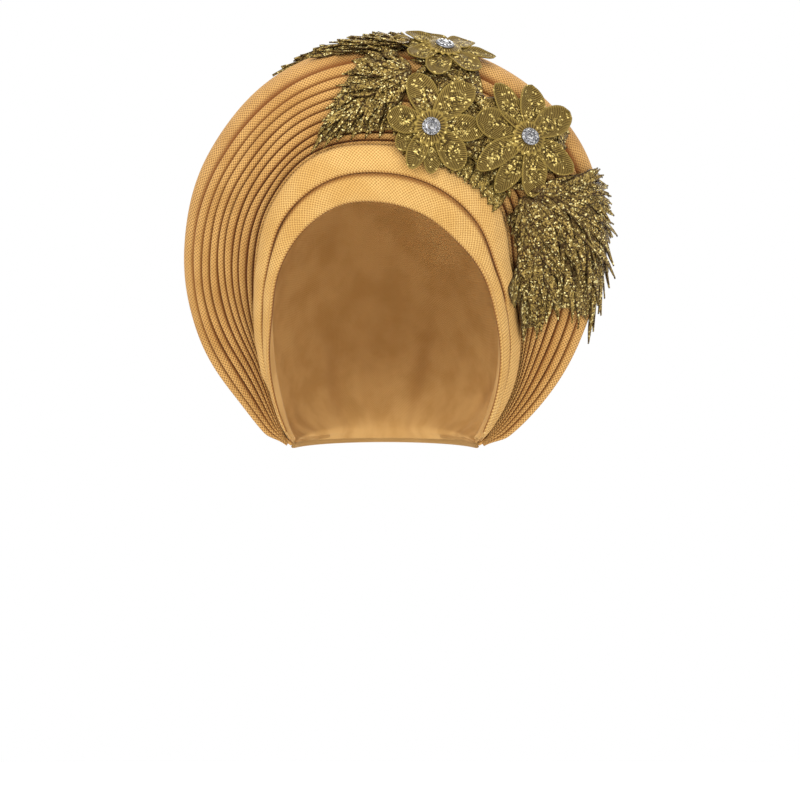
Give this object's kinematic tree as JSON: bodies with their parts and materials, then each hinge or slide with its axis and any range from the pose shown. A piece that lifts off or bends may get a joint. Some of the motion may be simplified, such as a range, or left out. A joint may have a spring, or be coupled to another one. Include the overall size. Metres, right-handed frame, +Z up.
{
  "type": "tied gele head tie",
  "caption": "Tied gele head tie in gold cloth: a fitted cap behind two folded brow strips and a wide fan of pleats, with lace leaves and raised lace flowers.",
  "frame": {"origin": "top of the hollow, where the crown of the wearer's head sits", "axes": "+Z up, the face opening faces -Y, +X is the picture's right side"},
  "size_m": [0.2483, 0.2088, 0.2416],
  "materials": {
    "cap_cloth": "matte woven cloth",
    "band_cloth": "matte openwork woven cloth with a slight sheen",
    "pleat_cloth": "matte openwork woven cloth with a slight sheen",
    "gold_lace": "metallic thread lace with glitter",
    "rhinestone": "foil-backed cut stones"
  },
  "bodies": {
    "root": {"cap": "cap_cloth", "nape_band": "cap_cloth", "brow_band_lower": "band_cloth", "brow_band_upper": "band_cloth", "cheek_panel": "band_cloth", "pleated_fan": "pleat_cloth", "back_wrap": "pleat_cloth", "lace_spray_top": "gold_lace", "lace_spray_left": "gold_lace", "lace_spray_right": "gold_lace", "lace_edging": "gold_lace", "lace_ground": "gold_lace", "flower_front": "gold_lace", "flower_right": "gold_lace", "flower_top": "gold_lace", "rhinestones_front": "rhinestone", "rhinestones_right": "rhinestone", "rhinestones_top": "rhinestone"}
  },
  "joints": []
}
